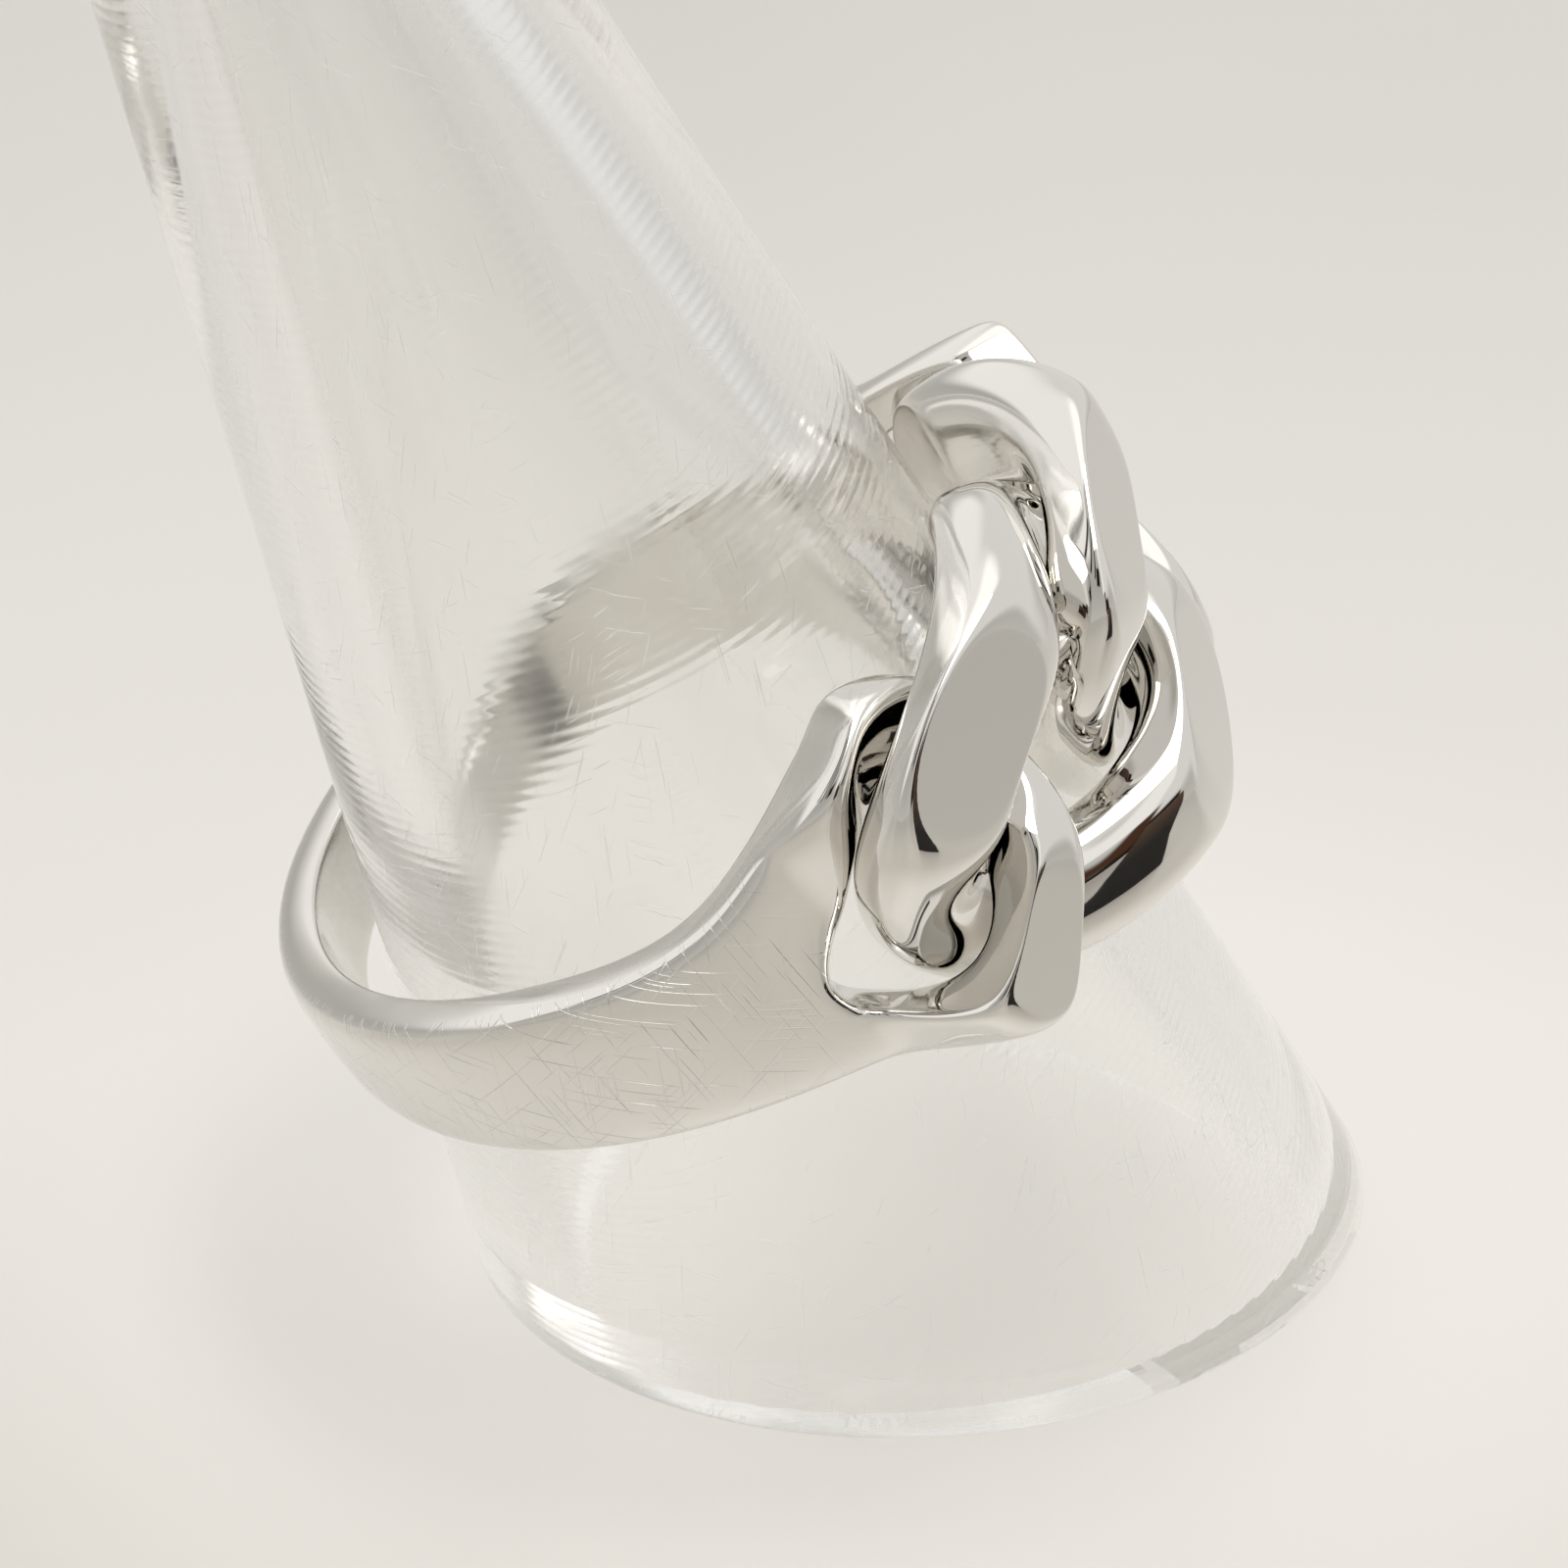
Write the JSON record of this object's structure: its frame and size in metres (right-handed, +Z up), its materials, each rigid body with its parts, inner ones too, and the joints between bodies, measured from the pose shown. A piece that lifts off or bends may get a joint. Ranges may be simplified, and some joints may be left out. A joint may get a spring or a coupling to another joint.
{
  "type": "chain link ring on a ring cone",
  "caption": "Polished finger ring with a curb chain front of interlocking flat-cut links and a plain tapering shank, resting on a leaning hollow clear ring cone.",
  "frame": {"origin": "centre of the cone's flat base, on the surface that it stands on", "axes": "+Z up from the base, -X the way the cone leans, +Y to the left of someone who looks along +X"},
  "size_m": [0.0336, 0.0257, 0.0401],
  "materials": {
    "silver": "mirror-polished silver",
    "acrylic": "clear acrylic, turned and polished"
  },
  "bodies": {
    "root": {"shank": "silver", "link_1": "silver", "link_2": "silver", "ring_cone": "acrylic"}
  },
  "joints": []
}
